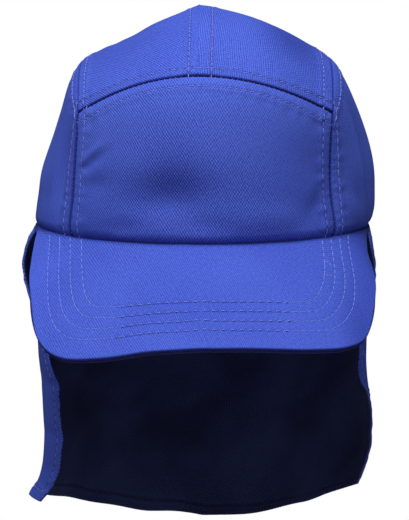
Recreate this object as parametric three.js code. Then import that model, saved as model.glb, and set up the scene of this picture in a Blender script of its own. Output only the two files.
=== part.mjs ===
// A legionnaire cap, in millimetres. +Z is up and the peak points towards -Y, so +X is the wearer's left.
// The origin is the middle of the head opening, level with the rim at the front of the cap.
import * as THREE from "three";
import { ParametricGeometry } from "three/addons/geometries/ParametricGeometry.js";
import { mergeGeometries, mergeVertices } from "three/addons/utils/BufferGeometryUtils.js";

// The head opening: its width and depth over the cloth, and how much lower the rim is at the back
const RIM_WIDTH = 176;
const RIM_DEPTH = 194;
const RIM_FALL = 12;
// The crown above the front of the rim
const CROWN_HEIGHT = 110;
const CROWN_WALL = 1.6;
// Where the long side seams meet the rim, in degrees round from the front
const FRONT_SEAM_ANGLE = 49.5;
const BACK_SEAM_ANGLE = 156;
// The peak: its width, how far its front edge lies ahead of its ends and below the rim, and its board
const PEAK_WIDTH = 174;
const PEAK_REACH = 137;
const PEAK_FALL = 40;
const PEAK_WALL = 3;
const PEAK_END_ANGLE = 78.5;
// How far below the crown's lower edge the peak is sewn on
const PEAK_SET_DOWN = 1.5;
// The flap: its length down the middle of the back, and its cloth
const FLAP_LENGTH = 186;
const FLAP_WALL = 1.4;
// How far the flap's back stands out from the rim at its hem, and the folds that it hangs in
const FLAP_BACK_FLARE = 9;
const FOLD_DEPTH = 3.2;
const FOLD_COUNT = 9;
// Sewn edges are this far apart
const SEAM_GAP = 0.3;
// Straight pieces in each side of a panel's edge, for measuring how far a point is from it, and how many rows of
// points can be close enough to it for that
const EDGE_STEPS = 36;
const ROUNDED_ROWS = 3;

// The long side seams, on the wearer's right and left, from the front of the rim over the shoulder to the back of
// the rim, without their two feet. Lengths are shares: the sides of half the rim's width, back of half its depth,
// the heights of the crown's.
const SIDE_SEAM = [
  { back: -0.6, rightSide: 0.737, rightUp: 0.262, leftSide: 0.732, leftUp: 0.262 },
  { back: -0.55, rightSide: 0.716, rightUp: 0.55, leftSide: 0.748, leftUp: 0.55 },
  { back: -0.36, rightSide: 0.722, rightUp: 0.672, leftSide: 0.757, leftUp: 0.68 },
  { back: -0.1, rightSide: 0.715, rightUp: 0.735, leftSide: 0.75, leftUp: 0.752 },
  { back: 0.22, rightSide: 0.68, rightUp: 0.715, leftSide: 0.705, leftUp: 0.725 },
  { back: 0.52, rightSide: 0.62, rightUp: 0.605, leftSide: 0.63, leftUp: 0.61 },
  { back: 0.76, rightSide: 0.51, rightUp: 0.404, leftSide: 0.51, leftUp: 0.404 },
  { back: 0.89, rightSide: 0.43, rightUp: 0.162, leftSide: 0.43, leftUp: 0.162 },
];
// Rows of the whole seam, feet included, where the arched seam meets it and where the side panel turns its corner
const ARCH_ROW = 2;
const CORNER_ROW = 6;
// The middle seam over the top, without its foot at the back of the rim, in the same shares: it runs a little
// to the wearer's right
const MIDDLE_SEAM = [
  { back: -0.805, rightSide: 0.03, rightUp: 0.75 },
  { back: -0.6, rightSide: 0.025, rightUp: 0.882 },
  { back: -0.38, rightSide: 0.022, rightUp: 0.963 },
  { back: -0.12, rightSide: 0.02, rightUp: 1.0 },
  { back: 0.16, rightSide: 0.012, rightUp: 0.97 },
  { back: 0.43, rightSide: 0, rightUp: 0.885 },
  { back: 0.67, rightSide: 0, rightUp: 0.715 },
  { back: 0.85, rightSide: 0, rightUp: 0.46 },
  { back: 0.955, rightSide: 0, rightUp: 0.17 },
];
// How far each panel's middle stands out from its seams, as a share of half the rim's width
const FULLNESS = { front: 0.05, topLeft: 0.025, topRight: -0.015, sideLeft: 0.13, sideRight: 0.058 };
// Dents pressed into the panels: where, as shares across and up the panel, how wide and tall as shares of the
// panel, and how deep as a share of half the rim's width. A negative depth is a swelling.
const DENTS = {
  front_panel: [
    { across: 0.36, up: 0.42, wide: 0.13, tall: 0.17, deep: 0.036 },
    { across: 0.9, up: 0.22, wide: 0.1, tall: 0.16, deep: 0.025 },
    { across: 0.68, up: 0.2, wide: 0.2, tall: 0.14, deep: 0.02 },
    { across: 0.1, up: 0.4, wide: 0.08, tall: 0.08, deep: 0.014 },
  ],
  side_panel_left: [
    { across: 0.42, up: 0.34, wide: 0.24, tall: 0.25, deep: -0.03 },
    { across: 0.28, up: 0.4, wide: 0.04, tall: 0.3, deep: 0.03 },
  ],
  side_panel_right: [
    { across: 0.42, up: 0.32, wide: 0.25, tall: 0.16, deep: -0.024 },
    { across: 0.42, up: 0.86, wide: 0.3, tall: 0.12, deep: -0.012 },
    { across: 0.12, up: 0.42, wide: 0.035, tall: 0.22, deep: 0.022 },
  ],
  top_panel_left: [],
  top_panel_right: [{ across: 0.6, up: 0.3, wide: 0.13, tall: 0.13, deep: 0.016 }],
};
// Dents fade away within this share of a panel from its sewn edges
const DENT_MARGIN = 0.14;
// The peak's free edge from the middle of its front round to its ends, on the wearer's right and left. The sides
// are shares of half the peak's width, ahead of its reach, and the falls of its fall.
const PEAK_EDGE = [
  { along: 0, rightSide: 0, leftSide: 0, ahead: 1, rightFall: 1, leftFall: 1 },
  { along: 0.15, rightSide: 0.3, leftSide: 0.3, ahead: 0.978, rightFall: 1.06, leftFall: 1.02 },
  { along: 0.3, rightSide: 0.58, leftSide: 0.58, ahead: 0.93, rightFall: 1.18, leftFall: 1.07 },
  { along: 0.45, rightSide: 0.81, leftSide: 0.81, ahead: 0.85, rightFall: 1.22, leftFall: 1.1 },
  { along: 0.6, rightSide: 0.945, leftSide: 0.94, ahead: 0.72, rightFall: 1.04, leftFall: 1.02 },
  { along: 0.75, rightSide: 0.998, leftSide: 1.0, ahead: 0.52, rightFall: 0.59, leftFall: 0.62 },
  { along: 0.9, rightSide: 0.998, leftSide: 0.98, ahead: 0.22, rightFall: 0.28, leftFall: 0.3 },
  { along: 1, rightSide: 0.985, leftSide: 0.985, ahead: 0.005, rightFall: 0.13, leftFall: 0.13 },
];
// The flap's two front edges from the rim down to the hem: how far round from the front each lies, in degrees,
// and how far it stands out sideways, as a share of half the rim's width. Right is the wearer's right.
const FLAP_EDGES = [
  { down: 0, rightAngle: 80.5, rightOut: 0, leftAngle: 80, leftOut: 0 },
  { down: 0.07, rightAngle: 82, rightOut: 0.07, leftAngle: 78, leftOut: 0.025 },
  { down: 0.15, rightAngle: 83, rightOut: 0.1, leftAngle: 82, leftOut: 0.04 },
  { down: 0.24, rightAngle: 81, rightOut: 0.055, leftAngle: 86, leftOut: 0.035 },
  { down: 0.36, rightAngle: 75, rightOut: 0.0, leftAngle: 76, leftOut: 0.005 },
  { down: 0.48, rightAngle: 67, rightOut: -0.02, leftAngle: 69.5, leftOut: -0.01 },
  { down: 0.57, rightAngle: 62, rightOut: -0.035, leftAngle: 73, leftOut: 0 },
  { down: 0.67, rightAngle: 61.5, rightOut: -0.042, leftAngle: 88, leftOut: 0.02 },
  { down: 0.8, rightAngle: 61, rightOut: -0.048, leftAngle: 94, leftOut: 0.045 },
  { down: 0.92, rightAngle: 63, rightOut: -0.015, leftAngle: 100, leftOut: 0.03 },
  { down: 1, rightAngle: 66, rightOut: 0.06, leftAngle: 108, leftOut: 0.01 },
];
// The flap's length round the wearer's right and left, by degrees from the front, in shares of its length
const FLAP_HEM = [
  { angle: 55, rightLength: 0.768, leftLength: 0.77 },
  { angle: 80, rightLength: 0.79, leftLength: 0.775 },
  { angle: 95, rightLength: 0.812, leftLength: 0.783 },
  { angle: 110, rightLength: 0.848, leftLength: 0.815 },
  { angle: 125, rightLength: 0.886, leftLength: 0.868 },
  { angle: 140, rightLength: 0.929, leftLength: 0.926 },
  { angle: 160, rightLength: 0.977, leftLength: 0.983 },
  { angle: 180, rightLength: 1, leftLength: 1 },
];
// How many degrees back from its front edge the flap still feels the edge's stand-out
const EDGE_REACH = 90;

const CLOTH = { color: 0x3a4fc4, roughness: 0.85, metalness: 0 };

const halfWidth = RIM_WIDTH / 2;
const halfDepth = RIM_DEPTH / 2;
const crownMiddle = new THREE.Vector3(0, 0, CROWN_HEIGHT / 4);

const smoothstep = THREE.MathUtils.smoothstep;
const radians = THREE.MathUtils.degToRad;

// A column of a table at a share, on a smooth curve through its rows
function column(rows, at, name, share) {
  const last = rows.length - 2;
  let i = 0;
  while (i < last && share > rows[i + 1][at]) i++;
  const slope = (j) => {
    const a = rows[Math.max(j - 1, 0)];
    const b = rows[Math.min(j + 1, rows.length - 1)];
    return (b[name] - a[name]) / (b[at] - a[at]);
  };
  const gap = rows[i + 1][at] - rows[i][at];
  const t = (share - rows[i][at]) / gap;
  const rise = rows[i + 1][name] - rows[i][name];
  const bend = (1 - t) * (slope(i) * gap - rise) - t * (slope(i + 1) * gap - rise);
  return rows[i][name] + t * rise + t * (1 - t) * bend;
}

// A point of the rim, by its angle round from the front: positive towards +X, 180 at the back
function rim(angle) {
  const turn = radians(angle);
  const fall = (RIM_FALL * (1 - Math.cos(turn))) / 2;
  return new THREE.Vector3(halfWidth * Math.sin(turn), -halfDepth * Math.cos(turn), -fall);
}

const rimArc = (from, to) => (share) => rim(THREE.MathUtils.lerp(from, to, share));

// A seam's curve through its rows, on the wearer's left (1) or right (-1), with rim points for its feet
function seamCurve(rows, hand, firstFoot, lastFoot) {
  const [side, up] = hand > 0 ? ["leftSide", "leftUp"] : ["rightSide", "rightUp"];
  const points = rows.map(
    (row) => new THREE.Vector3(hand * row[side] * halfWidth, row.back * halfDepth, row[up] * CROWN_HEIGHT),
  );
  if (firstFoot) points.unshift(firstFoot);
  points.push(lastFoot);
  return new THREE.CatmullRomCurve3(points, false, "catmullrom", 0.5);
}

// The stretch of a curve between two of its rows
const stretch = (curve, fromRow, toRow) => (share) =>
  curve.getPoint(THREE.MathUtils.lerp(fromRow, toRow, share) / (curve.points.length - 1));

const sideSeam = (hand) =>
  seamCurve(SIDE_SEAM, hand, rim(hand * FRONT_SEAM_ANGLE), rim(hand * BACK_SEAM_ANGLE));
const sideSeams = { left: sideSeam(1), right: sideSeam(-1) };
const middleSeam = seamCurve(MIDDLE_SEAM, -1, null, rim(180));

// The arched seam over the front panel, from the wearer's right side to the left: a parabola seen from any side
function archSeam(share) {
  const ends = [sideSeams.right.points[ARCH_ROW], sideSeams.left.points[ARCH_ROW]];
  const top = middleSeam.points[0];
  const away = 2 * share - 1;
  const end = ends[away < 0 ? 0 : 1];
  const reach = Math.abs(away);
  const point = top.clone().lerp(end, reach * reach);
  point.x = THREE.MathUtils.lerp(top.x, end.x, reach);
  return point;
}

// A four-sided patch of cloth between four sewn edges, filled out from the middle of the crown
function panel(name, { bottom, top, start, end }, fullness) {
  const corners = [bottom(0), bottom(1), top(0), top(1)];
  return (across, up) => {
    const point = bottom(across).lerp(top(across), up);
    point.add(start(up).lerp(end(up), across));
    const low = corners[0].clone().lerp(corners[1], across);
    point.sub(low.lerp(corners[2].clone().lerp(corners[3], across), up));
    let out = 16 * fullness * across * (1 - across) * up * (1 - up);
    const fromEdge = Math.min(across, 1 - across, up, 1 - up);
    for (const dent of DENTS[name]) {
      const x = (across - dent.across) / dent.wide;
      const y = (up - dent.up) / dent.tall;
      out -= dent.deep * Math.exp(-x * x - y * y) * smoothstep(fromEdge, 0, DENT_MARGIN);
    }
    return point.add(point.clone().sub(crownMiddle).setLength(out * halfWidth));
  };
}

// The peak, from its root on the rim to its free edge, from the wearer's right end to the left
function peak(across, ahead) {
  const way = 2 * across - 1;
  const along = Math.abs(way);
  const edge = (name) => column(PEAK_EDGE, "along", name, along);
  const endPoint = rim(PEAK_END_ANGLE);
  const tip = new THREE.Vector3(
    (Math.sign(way) * edge(way < 0 ? "rightSide" : "leftSide") * PEAK_WIDTH) / 2,
    endPoint.y - edge("ahead") * PEAK_REACH,
    -edge(way < 0 ? "rightFall" : "leftFall") * PEAK_FALL,
  );
  const root = rim(way * PEAK_END_ANGLE);
  root.z -= PEAK_SET_DOWN;
  return root.lerp(tip, ahead);
}

// The flap, from its front edge on the wearer's right, round the back, to the one on the left
function flap(across, down) {
  const edge = (name) => column(FLAP_EDGES, "down", name, down);
  const angle = THREE.MathUtils.lerp(edge("rightAngle"), 360 - edge("leftAngle"), across);
  const fromRight = smoothstep(1 - (angle - edge("rightAngle")) / EDGE_REACH, 0, 1);
  const fromLeft = smoothstep(1 - (360 - edge("leftAngle") - angle) / EDGE_REACH, 0, 1);
  const out = halfWidth * (edge("rightOut") * fromRight + edge("leftOut") * fromLeft);
  const turn = radians(-angle);
  const behind = Math.max(0, -Math.cos(turn));
  const folds = FOLD_DEPTH * down * behind * Math.sin(radians(angle * FOLD_COUNT));
  const flare = FLAP_BACK_FLARE * down * behind;
  const fromFront = Math.min(angle, 360 - angle);
  const length = FLAP_LENGTH * column(FLAP_HEM, "angle", angle < 180 ? "rightLength" : "leftLength", fromFront);
  const point = rim(-angle);
  point.x += Math.sin(turn) * (out + folds);
  point.y -= Math.cos(turn) * (flare + folds);
  point.z -= down * length;
  return point;
}

// Where a grid's lines fall, from 0 to 1: half a seam gap in from each edge, then half a wall's thickness in,
// where the cloth is at its full thickness, then evenly
function gridLines(count, length, wall) {
  const gap = SEAM_GAP / 2 / length;
  const full = gap + wall / 2 / length;
  const inner = Array.from({ length: count - 1 }, (_, i) => THREE.MathUtils.lerp(full, 1 - full, i / (count - 2)));
  return [gap, ...inner, 1 - gap];
}

function lengthAlong(pointAt) {
  const steps = 40;
  let sum = 0;
  for (let i = 0; i < steps; i++) sum += pointAt(i / steps).distanceTo(pointAt((i + 1) / steps));
  return sum;
}

// The surface's unit normal, from a short step to each side
function normalAt(surface, u, v) {
  const step = 1e-3;
  const acrossWay = surface(u + step, v).sub(surface(u - step, v));
  const upWay = surface(u, v + step).sub(surface(u, v - step));
  return acrossWay.cross(upWay).normalize();
}

// The edge of a surface, as short straight pieces
function outlineOf(surface) {
  const corners = [
    [0, 0],
    [1, 0],
    [1, 1],
    [0, 1],
  ];
  const points = corners.flatMap(([u, v], side) => {
    const [nextU, nextV] = corners[(side + 1) % 4];
    const at = (t) => surface(THREE.MathUtils.lerp(u, nextU, t), THREE.MathUtils.lerp(v, nextV, t));
    return Array.from({ length: EDGE_STEPS }, (_, i) => at(i / EDGE_STEPS));
  });
  return points.map((point, i) => new THREE.Line3(point, points[(i + 1) % points.length]));
}

function distanceTo(lines, point) {
  const nearest = new THREE.Vector3();
  let least = Infinity;
  for (const line of lines) {
    line.closestPointToPoint(point, true, nearest);
    least = Math.min(least, nearest.distanceToSquared(point));
  }
  return Math.sqrt(least);
}

// A closed solid of cloth round a surface, with its edges rounded off to the middle of its wall
function clothMesh(name, surface, { across, up, wall }) {
  const us = gridLines(across, lengthAlong((t) => surface(t, 0.5)), wall);
  const vs = gridLines(up, lengthAlong((t) => surface(0.5, t)), wall);
  const outline = outlineOf(surface);
  const halfWallAt = (point, fromEdge) => {
    if (fromEdge === 0) return 0;
    if (fromEdge > ROUNDED_ROWS) return wall / 2;
    return THREE.MathUtils.clamp(distanceTo(outline, point) - SEAM_GAP / 2, wall / 20, wall / 2);
  };
  const grid = us.map((u, i) =>
    vs.map((v, j) => {
      const point = surface(u, v);
      const halfWall = halfWallAt(point, Math.min(i, across - i, j, up - j));
      const offset = halfWall ? normalAt(surface, u, v).multiplyScalar(halfWall) : new THREE.Vector3();
      return { point, offset };
    }),
  );
  const face = (side) => (share, v, target) => {
    const line = grid[THREE.MathUtils.clamp(Math.round((side > 0 ? share : 1 - share) * across), 0, across)];
    const { point, offset } = line[THREE.MathUtils.clamp(Math.round(v * up), 0, up)];
    target.copy(point).addScaledVector(offset, side);
  };
  const faces = [1, -1].map((side) => new ParametricGeometry(face(side), across, up));
  for (const geometry of faces) {
    geometry.deleteAttribute("normal");
    geometry.deleteAttribute("uv");
  }
  const geometry = mergeVertices(mergeGeometries(faces), 1e-4);
  geometry.computeVertexNormals();
  const mesh = new THREE.Mesh(geometry, new THREE.MeshStandardMaterial(CLOTH));
  mesh.name = name;
  return mesh;
}

const lastRow = sideSeams.left.points.length - 1;
const middleEnd = middleSeam.points.length - 1;

function frontPanel() {
  const surface = panel(
    "front_panel",
    {
      bottom: rimArc(-FRONT_SEAM_ANGLE, FRONT_SEAM_ANGLE),
      top: archSeam,
      start: stretch(sideSeams.right, 0, ARCH_ROW),
      end: stretch(sideSeams.left, 0, ARCH_ROW),
    },
    FULLNESS.front,
  );
  return clothMesh("front_panel", surface, { across: 22, up: 14, wall: CROWN_WALL });
}

// A side panel runs from front to back on the wearer's left, and from back to front on the right, so that its
// outer face is the same one on both sides
function sidePanel(name, hand, seam, fullness) {
  const edges = {
    bottom: rimArc(hand * FRONT_SEAM_ANGLE, hand * BACK_SEAM_ANGLE),
    top: stretch(seam, ARCH_ROW, CORNER_ROW),
    start: stretch(seam, 0, ARCH_ROW),
    end: stretch(seam, lastRow, CORNER_ROW),
  };
  const surface = panel(name, edges, fullness);
  const turned = hand > 0 ? surface : (u, v) => surface(1 - u, v);
  return clothMesh(name, turned, { across: 20, up: 12, wall: CROWN_WALL });
}

// A top panel's across runs from the middle seam to the side seam, and its up from the arched seam to the back
function topPanel(name, hand, seam, fullness) {
  const edges = {
    bottom: (share) => archSeam((1 + hand * share) / 2),
    top: rimArc(180, hand * BACK_SEAM_ANGLE + (hand < 0 ? 360 : 0)),
    start: stretch(middleSeam, 0, middleEnd),
    end: stretch(seam, ARCH_ROW, lastRow),
  };
  const surface = panel(name, edges, fullness);
  const turned = hand > 0 ? surface : (u, v) => surface(1 - u, v);
  return clothMesh(name, turned, { across: 9, up: 22, wall: CROWN_WALL });
}

const cap = new THREE.Group();
cap.name = "legionnaire_cap";
cap.add(
  frontPanel(),
  topPanel("top_panel_left", 1, sideSeams.left, FULLNESS.topLeft),
  topPanel("top_panel_right", -1, sideSeams.right, FULLNESS.topRight),
  sidePanel("side_panel_left", 1, sideSeams.left, FULLNESS.sideLeft),
  sidePanel("side_panel_right", -1, sideSeams.right, FULLNESS.sideRight),
  clothMesh("peak", peak, { across: 34, up: 8, wall: PEAK_WALL }),
  clothMesh("neck_flap", flap, { across: 56, up: 18, wall: FLAP_WALL }),
);

export default cap;
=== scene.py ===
# The looks of a legionnaire cap: royal blue cotton twill panels, a stitched peak and a hanging neck flap.
# Sizes are in millimetres until a mesh is made, and follow the CAD model's: +Z up, the peak towards -Y, and
# the wearer's left on +X. The origin is the middle of the head opening, level with the crown's front edge.
import math

import bpy
import numpy as np
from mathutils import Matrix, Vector


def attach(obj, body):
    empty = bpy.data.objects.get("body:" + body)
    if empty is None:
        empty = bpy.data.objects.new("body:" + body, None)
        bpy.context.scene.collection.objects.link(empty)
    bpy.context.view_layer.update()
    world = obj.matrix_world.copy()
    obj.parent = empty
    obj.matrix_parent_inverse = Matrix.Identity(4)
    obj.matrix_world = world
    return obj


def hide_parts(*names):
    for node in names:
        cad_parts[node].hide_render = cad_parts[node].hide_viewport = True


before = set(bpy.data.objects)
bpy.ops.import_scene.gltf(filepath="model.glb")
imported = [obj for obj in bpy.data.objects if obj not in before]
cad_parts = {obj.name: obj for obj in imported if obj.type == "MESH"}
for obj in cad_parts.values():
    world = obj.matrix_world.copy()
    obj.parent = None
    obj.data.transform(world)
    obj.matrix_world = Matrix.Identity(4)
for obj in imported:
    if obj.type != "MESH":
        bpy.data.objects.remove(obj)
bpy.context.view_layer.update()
scene = bpy.context.scene

MM = 0.001

# The head opening, the crown and its cloth
RIM_WIDTH = 176
RIM_DEPTH = 194
RIM_FALL = 12
CROWN_HEIGHT = 110
CROWN_WALL = 1.6
FRONT_SEAM_ANGLE = 49.5
BACK_SEAM_ANGLE = 156
# The peak and its board
PEAK_WIDTH = 174
PEAK_REACH = 137
PEAK_FALL = 40
PEAK_WALL = 3
PEAK_END_ANGLE = 78.5
PEAK_SET_DOWN = 1.5
# The flap and its hang
FLAP_LENGTH = 186
FLAP_WALL = 1.4
FLAP_BACK_FLARE = 9
FOLD_DEPTH = 3.2
FOLD_COUNT = 9
EDGE_REACH = 90
HEM_WIDTH = 8.0
# Sewing: stitches this long and this far apart
CROWN_PITCH = 3.9
CROWN_STITCH = 3.6
PEAK_PITCH = 4.4
PEAK_STITCH = 4.0
THREAD_RADIUS = 0.22

half_width = RIM_WIDTH / 2
half_depth = RIM_DEPTH / 2
crown_middle = np.array([0.0, 0.0, CROWN_HEIGHT / 4])


def table(names, rows):
    """A small table with named columns."""
    return {name: np.array([row[i] for row in rows], float) for i, name in enumerate(names.split())}


SIDE_SEAM = table(
    "back right_side right_up left_side left_up",
    [
        (-0.6, 0.737, 0.262, 0.732, 0.262),
        (-0.55, 0.716, 0.55, 0.748, 0.55),
        (-0.36, 0.722, 0.672, 0.757, 0.68),
        (-0.1, 0.715, 0.735, 0.75, 0.752),
        (0.22, 0.68, 0.715, 0.705, 0.725),
        (0.52, 0.62, 0.605, 0.63, 0.61),
        (0.76, 0.51, 0.404, 0.51, 0.404),
        (0.89, 0.43, 0.162, 0.43, 0.162),
    ],
)
ARCH_ROW = 2
CORNER_ROW = 6
MIDDLE_SEAM = table(
    "back right_side right_up",
    [
        (-0.805, 0.03, 0.75),
        (-0.6, 0.025, 0.882),
        (-0.38, 0.022, 0.963),
        (-0.12, 0.02, 1.0),
        (0.16, 0.012, 0.97),
        (0.43, 0.0, 0.885),
        (0.67, 0.0, 0.715),
        (0.85, 0.0, 0.46),
        (0.955, 0.0, 0.17),
    ],
)
# Each crown panel's fullness, its grain in degrees, how far its free edge swells over the rim, and its seed
PANELS = {
    "front_panel": {"fullness": 0.08, "grain": 30, "swell": 0.9, "seed": 11},
    "top_panel_left": {"fullness": 0.025, "grain": 6, "swell": 0.4, "seed": 23},
    "top_panel_right": {"fullness": -0.015, "grain": 40, "swell": 0.4, "seed": 37},
    "side_panel_left": {"fullness": 0.13, "grain": 30, "swell": 0.7, "seed": 41},
    "side_panel_right": {"fullness": 0.058, "grain": 44, "swell": 0.7, "seed": 53},
}
# Dents in the panels: across, up, wide, tall, deep
DENTS = {
    "front_panel": [
        (0.405, 0.285, 0.16, 0.17, 0.05),
        (0.9, 0.2, 0.1, 0.12, 0.018),
        (0.72, 0.2, 0.24, 0.1, -0.01),
        (0.1, 0.4, 0.08, 0.08, 0.014),
    ],
    "side_panel_left": [
        (0.42, 0.34, 0.24, 0.25, -0.03),
        (0.28, 0.4, 0.04, 0.3, 0.03),
    ],
    "side_panel_right": [
        (0.42, 0.32, 0.25, 0.16, -0.024),
        (0.42, 0.86, 0.3, 0.12, -0.012),
        (0.12, 0.42, 0.035, 0.22, 0.022),
    ],
    "top_panel_right": [(0.6, 0.3, 0.13, 0.13, 0.016)],
}
DENT_MARGIN = 0.14
PEAK_EDGE = table(
    "along right_side left_side ahead right_fall left_fall",
    [
        (0, 0, 0, 1, 1, 1),
        (0.15, 0.3, 0.3, 0.978, 1.06, 1.02),
        (0.3, 0.58, 0.58, 0.93, 1.18, 1.07),
        (0.45, 0.81, 0.81, 0.85, 1.22, 1.1),
        (0.6, 0.945, 0.94, 0.72, 1.04, 1.02),
        (0.75, 0.998, 1.0, 0.52, 0.59, 0.62),
        (0.9, 0.998, 0.965, 0.22, 0.28, 0.3),
        (1, 0.985, 0.972, 0.005, 0.13, 0.13),
    ],
)
FLAP_EDGES = table(
    "down right_angle right_out left_angle left_out",
    [
        (0, 80.5, 0, 80, 0),
        (0.07, 82, 0.058, 78, 0.025),
        (0.15, 83, 0.082, 82, 0.04),
        (0.24, 81, 0.055, 86, 0.035),
        (0.36, 75, 0.0, 76, 0.005),
        (0.48, 67, -0.02, 69.5, -0.01),
        (0.57, 62, -0.035, 73, 0),
        (0.67, 61.5, -0.042, 88, 0.02),
        (0.8, 61, -0.048, 94, 0.045),
        (0.92, 63, -0.015, 100, 0.03),
        (1, 66, 0.06, 108, 0.01),
    ],
)
FLAP_HEM = table(
    "angle right_length left_length",
    [
        (55, 0.768, 0.77),
        (80, 0.79, 0.775),
        (95, 0.812, 0.783),
        (110, 0.848, 0.815),
        (125, 0.886, 0.868),
        (140, 0.929, 0.926),
        (160, 0.977, 0.983),
        (180, 1, 1),
    ],
)


def smoothstep(x, low, high):
    t = np.clip((x - low) / (high - low), 0, 1)
    return t * t * (3 - 2 * t)


def bell(x, width):
    """A soft bump, as high as 1 where x is nought."""
    return np.exp(-((x / width) ** 2))


def unit(vectors):
    return vectors / np.maximum(np.linalg.norm(vectors, axis=-1, keepdims=True), 1e-9)


def column(rows, at, name, share):
    """A column of a table at a share, on a smooth curve through its rows."""
    x, y = rows[at], rows[name]
    last = len(x) - 1
    lower = np.maximum(np.arange(last + 1) - 1, 0)
    upper = np.minimum(np.arange(last + 1) + 1, last)
    slopes = (y[upper] - y[lower]) / (x[upper] - x[lower])
    i = np.clip(np.searchsorted(x, share, side="left") - 1, 0, last - 1)
    gap = x[i + 1] - x[i]
    t = (share - x[i]) / gap
    rise = y[i + 1] - y[i]
    bend = (1 - t) * (slopes[i] * gap - rise) - t * (slopes[i + 1] * gap - rise)
    return y[i] + t * rise + t * (1 - t) * bend


def points3(x, y, z):
    return np.stack(np.broadcast_arrays(x, y, z), -1).astype(float)


def rim(angle):
    """Points of the rim by their angle round from the front, positive towards +X."""
    turn = np.radians(angle)
    return points3(half_width * np.sin(turn), -half_depth * np.cos(turn), -RIM_FALL * (1 - np.cos(turn)) / 2)


def rim_arc(start, end):
    return lambda share: rim(start + (end - start) * share)


def seam_points(rows, hand, *feet):
    """A seam's points from a table, with its one last foot on the rim, or with its first and its last."""
    side, up = ("left_side", "left_up") if hand > 0 else ("right_side", "right_up")
    points = points3(hand * rows[side] * half_width, rows["back"] * half_depth, rows[up] * CROWN_HEIGHT)
    return np.vstack([*feet[:-1], points, feet[-1]])


def curve_at(points, row):
    """A smooth curve through points, at a row number that may lie between two of them."""
    ends = np.vstack([2 * points[0] - points[1], points, 2 * points[-1] - points[-2]])
    i = np.clip(np.floor(row).astype(int), 0, len(points) - 2)
    t = (row - i)[..., None]
    p0, p1, p2, p3 = (ends[i + k] for k in range(4))
    m1, m2 = (p2 - p0) / 2, (p3 - p1) / 2
    return (
        (2 * t**3 - 3 * t**2 + 1) * p1
        + (t**3 - 2 * t**2 + t) * m1
        + (-2 * t**3 + 3 * t**2) * p2
        + (t**3 - t**2) * m2
    )


def stretch(points, first, last):
    return lambda share: curve_at(points, first + (last - first) * share)


SEAMS = {
    hand: seam_points(SIDE_SEAM, hand, rim(hand * FRONT_SEAM_ANGLE), rim(hand * BACK_SEAM_ANGLE))
    for hand in (1, -1)
}
MIDDLE = seam_points(MIDDLE_SEAM, -1, rim(180))
LAST_ROW = len(SEAMS[1]) - 1
MIDDLE_END = len(MIDDLE) - 1


def arch_seam(share):
    """The arched seam over the front panel, from the wearer's right to the left."""
    away = 2 * share - 1
    reach = np.abs(away)[..., None]
    end = np.where(away[..., None] < 0, SEAMS[-1][ARCH_ROW], SEAMS[1][ARCH_ROW])
    top = MIDDLE[0]
    point = top + (end - top) * reach**2
    point[..., 0] = (top + (end - top) * reach)[..., 0]
    return point


def panel(name, bottom, top, start, end):
    """A patch of cloth between four seams, filled out from the middle of the crown, with its dents."""
    corners = [edge(np.array(t)) for edge in (bottom, top) for t in (0.0, 1.0)]

    def surface(across, up):
        u, v = across[..., None], up[..., None]
        point = bottom(across) * (1 - v) + top(across) * v + start(up) * (1 - u) + end(up) * u
        low = corners[0] * (1 - u) + corners[1] * u
        high = corners[2] * (1 - u) + corners[3] * u
        point = point - (low * (1 - v) + high * v)
        out = 16 * PANELS[name]["fullness"] * across * (1 - across) * up * (1 - up)
        from_edge = np.minimum(np.minimum(across, 1 - across), np.minimum(up, 1 - up))
        fade = smoothstep(from_edge, 0, DENT_MARGIN)
        for x, y, wide, tall, deep in DENTS.get(name, []):
            out = out - deep * bell(across - x, wide) * bell(up - y, tall) * fade
        return point + unit(point - crown_middle) * (out * half_width)[..., None]

    return surface


def mirrored(surface):
    return lambda across, up: surface(1 - across, up)


SURFACES = {
    "front_panel": panel(
        "front_panel",
        rim_arc(-FRONT_SEAM_ANGLE, FRONT_SEAM_ANGLE),
        arch_seam,
        stretch(SEAMS[-1], 0, ARCH_ROW),
        stretch(SEAMS[1], 0, ARCH_ROW),
    )
}


def add_side_surfaces(word, hand):
    """The top and the side panel of one hand, each between its bottom, top, start and end seams."""
    seams = {
        "top_panel_": (
            lambda share: arch_seam((1 + hand * share) / 2),
            rim_arc(180, hand * BACK_SEAM_ANGLE + (360 if hand < 0 else 0)),
            stretch(MIDDLE, 0, MIDDLE_END),
            stretch(SEAMS[hand], ARCH_ROW, LAST_ROW),
        ),
        "side_panel_": (
            rim_arc(hand * FRONT_SEAM_ANGLE, hand * BACK_SEAM_ANGLE),
            stretch(SEAMS[hand], ARCH_ROW, CORNER_ROW),
            stretch(SEAMS[hand], 0, ARCH_ROW),
            stretch(SEAMS[hand], LAST_ROW, CORNER_ROW),
        ),
    }
    for kind, edges in seams.items():
        surface = panel(kind + word, *edges)
        SURFACES[kind + word] = surface if hand > 0 else mirrored(surface)


add_side_surfaces("left", 1)
add_side_surfaces("right", -1)


def sided(rows, at, what, right, share):
    """A column for the wearer's right where that is asked for, and the one for the left elsewhere."""
    right_one, left_one = (column(rows, at, hand + what, share) for hand in ("right_", "left_"))
    return np.where(right, right_one, left_one)


def peak_edge(way):
    """The peak's free edge, from the wearer's right end (-1) to the left (1)."""
    along = np.abs(way)
    side = sided(PEAK_EDGE, "along", "side", way < 0, along)
    fall = sided(PEAK_EDGE, "along", "fall", way < 0, along)
    ahead = column(PEAK_EDGE, "along", "ahead", along)
    end_y = rim(PEAK_END_ANGLE)[1]
    return points3(np.sign(way) * side * PEAK_WIDTH / 2, end_y - ahead * PEAK_REACH, -fall * PEAK_FALL)


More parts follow.
